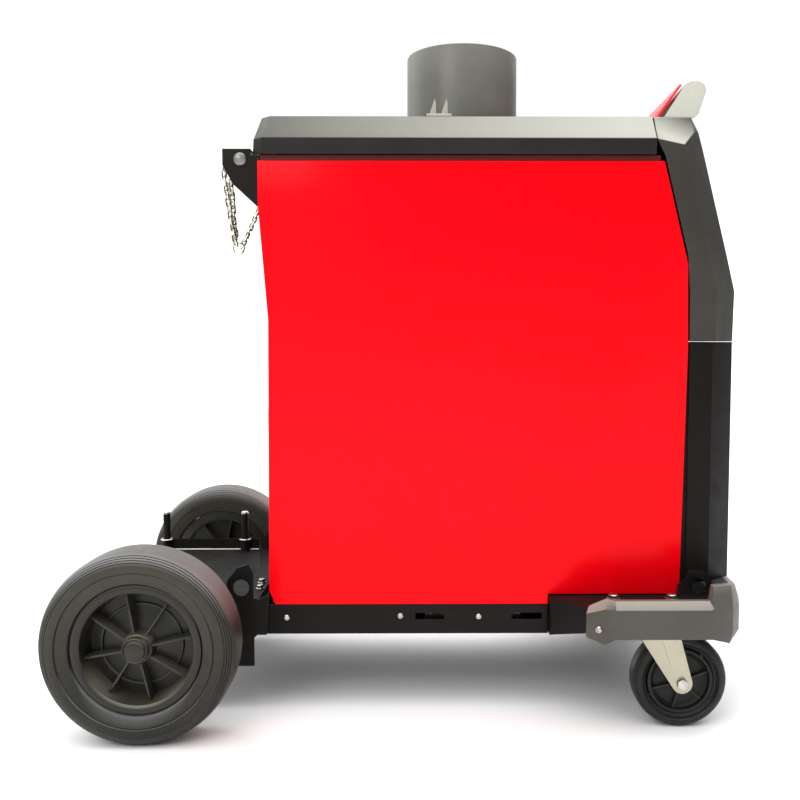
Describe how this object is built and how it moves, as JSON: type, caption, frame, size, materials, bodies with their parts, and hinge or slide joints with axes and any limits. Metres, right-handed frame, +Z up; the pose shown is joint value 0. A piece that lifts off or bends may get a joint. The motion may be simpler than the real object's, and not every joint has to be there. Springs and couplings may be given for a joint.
{
  "type": "wheeled arc welding machine",
  "caption": "Compact wheeled arc welding machine with a wire spool door, lid tray with cable drum, front controls, bumper, casters and rear gas bottle platform with chain.",
  "frame": {"origin": "on the floor below the middle of the bounding box", "axes": "+X forward to the control panel, +Y to the left side with the wire spool door, +Z up"},
  "size_m": [0.93, 0.557, 0.932],
  "materials": {
    "red_paint": "gloss powder coat",
    "black_powder": "satin black powder coat",
    "grey_plastic": "fine-grained moulded plastic",
    "bumper_plastic": "fine-grained moulded plastic",
    "black_plastic": "moulded",
    "soft_rubber": "soft",
    "tyre_rubber": "dull",
    "zinc": "zinc plated",
    "steel": "machined",
    "brass": "turned",
    "aluminium": "mill finish",
    "screen_glass": "polished dark window"
  },
  "bodies": {
    "machine": {"side_panel_right": "red_paint", "side_panel_left_lower": "red_paint", "handle_back_panel": "red_paint", "chassis_tray": "black_powder", "rear_platform": "black_powder", "axle_bracket_left": "black_powder", "axle_bracket_right": "black_powder", "front_crossmember": "black_powder", "rear_panel": "black_powder", "lower_front_panel": "black_powder", "bottle_cradle": "black_powder", "fan_guard": "black_powder", "top_cover": "grey_plastic", "front_frame": "grey_plastic", "push_handle": "grey_plastic", "cable_drum": "grey_plastic", "cable_clip": "grey_plastic", "front_bumper": "bumper_plastic", "control_panel": "black_plastic", "output_socket_plus": "black_plastic", "output_socket_minus": "black_plastic", "mains_gland": "black_plastic", "caster_plate_left": "zinc", "caster_plate_right": "zinc", "bottle_chain": "zinc", "rear_axle": "steel", "feed_motor": "steel", "output_choke": "steel", "torch_socket": "brass", "gas_inlet": "brass", "partition": "aluminium", "power_module": "aluminium", "feeder_plate": "aluminium", "display_window": "screen_glass"},
    "rear_wheel_right": {"tyre_right": "tyre_rubber", "rim_right": "black_plastic", "axle_cap_right": "black_plastic"},
    "caster_swivel_right": {"caster_fork_right": "zinc", "caster_axle_right": "steel"},
    "caster_wheel_right": {"caster_tyre_right": "tyre_rubber", "caster_core_right": "black_plastic"},
    "rear_wheel_left": {"tyre_left": "tyre_rubber", "rim_left": "black_plastic", "axle_cap_left": "black_plastic"},
    "caster_swivel_left": {"caster_fork_left": "zinc", "caster_axle_left": "steel"},
    "caster_wheel_left": {"caster_tyre_left": "tyre_rubber", "caster_core_left": "black_plastic"},
    "door": {"spool_door": "red_paint"},
    "latch": {"door_latch": "black_plastic"},
    "switch": {"mains_switch": "black_plastic"},
    "voltage": {"voltage_knob": "black_plastic"},
    "wire_speed": {"wire_speed_knob": "black_plastic"},
    "button_1": {"select_button_1": "soft_rubber"},
    "button_2": {"select_button_2": "soft_rubber"},
    "fan": {"fan_rotor": "black_plastic"},
    "spool": {"spool_hub": "black_plastic"},
    "roll": {"drive_roll": "steel"},
    "arm": {"pressure_arm": "black_plastic"},
    "tension": {"tension_knob": "black_plastic"}
  },
  "joints": [
    {"name": "rear_wheel_right_spin", "type": "hinge", "parent": "machine", "child": "rear_wheel_right", "pos_m": [-0.34, -0.2425, 0.125], "axis": [0, 1, 0], "continuous": true},
    {"name": "caster_right_swivel", "type": "hinge", "parent": "machine", "child": "caster_swivel_right", "pos_m": [0.321, -0.2, 0.15], "axis": [0, 0, 1], "continuous": true},
    {"name": "caster_right_roll", "type": "hinge", "parent": "caster_swivel_right", "child": "caster_wheel_right", "pos_m": [0.362, -0.2, 0.0625], "axis": [0, 1, 0], "continuous": true},
    {"name": "rear_wheel_left_spin", "type": "hinge", "parent": "machine", "child": "rear_wheel_left", "pos_m": [-0.34, 0.2425, 0.125], "axis": [0, 1, 0], "continuous": true},
    {"name": "caster_left_swivel", "type": "hinge", "parent": "machine", "child": "caster_swivel_left", "pos_m": [0.321, 0.2, 0.15], "axis": [0, 0, 1], "continuous": true},
    {"name": "caster_left_roll", "type": "hinge", "parent": "caster_swivel_left", "child": "caster_wheel_left", "pos_m": [0.362, 0.2, 0.0625], "axis": [0, 1, 0], "continuous": true},
    {"name": "door_hinge", "type": "hinge", "parent": "machine", "child": "door", "pos_m": [-0.2045, 0.1535, 0.52], "axis": [0, 0, 1], "range_deg": [0, 110]},
    {"name": "latch_turn", "type": "hinge", "parent": "door", "child": "latch", "pos_m": [0.345, 0.153, 0.52], "axis": [0, 1, 0], "range_deg": [0, 90]},
    {"name": "mains_switch_turn", "type": "hinge", "parent": "machine", "child": "switch", "pos_m": [0.458, -0.055, 0.44], "axis": [-1, 0, 0], "range_deg": [0, 90]},
    {"name": "voltage_turn", "type": "hinge", "parent": "machine", "child": "voltage", "pos_m": [0.43897, -0.045, 0.6485], "axis": [0.9699, 0, 0.2434], "range_deg": [-150, 150]},
    {"name": "wire_speed_turn", "type": "hinge", "parent": "machine", "child": "wire_speed", "pos_m": [0.43897, 0.045, 0.6485], "axis": [0.9699, 0, 0.2434], "range_deg": [-150, 150]},
    {"name": "button_1_press", "type": "slide", "parent": "machine", "child": "button_1", "axis": [-0.9699, 0, -0.2434], "range_m": [0, 0.0015], "stiffness_N_per_m": 200},
    {"name": "button_2_press", "type": "slide", "parent": "machine", "child": "button_2", "axis": [-0.9699, 0, -0.2434], "range_m": [0, 0.0015], "stiffness_N_per_m": 200},
    {"name": "fan_spin", "type": "hinge", "parent": "machine", "child": "fan", "pos_m": [-0.174, -0.075, 0.4], "axis": [1, 0, 0], "continuous": true},
    {"name": "spool_spin", "type": "hinge", "parent": "machine", "child": "spool", "pos_m": [-0.03, 0.05, 0.585], "axis": [0, 1, 0], "continuous": true},
    {"name": "roll_spin", "type": "hinge", "parent": "machine", "child": "roll", "pos_m": [0.215, 0.0175, 0.48], "axis": [0, 1, 0], "continuous": true},
    {"name": "pressure_arm_lift", "type": "hinge", "parent": "machine", "child": "arm", "pos_m": [0.165, 0.0175, 0.538], "axis": [0, -1, 0], "range_deg": [0, 70]},
    {"name": "tension_turn", "type": "hinge", "parent": "arm", "child": "tension", "pos_m": [0.262, 0.0175, 0.56], "axis": [0, 0, 1], "continuous": true}
  ]
}
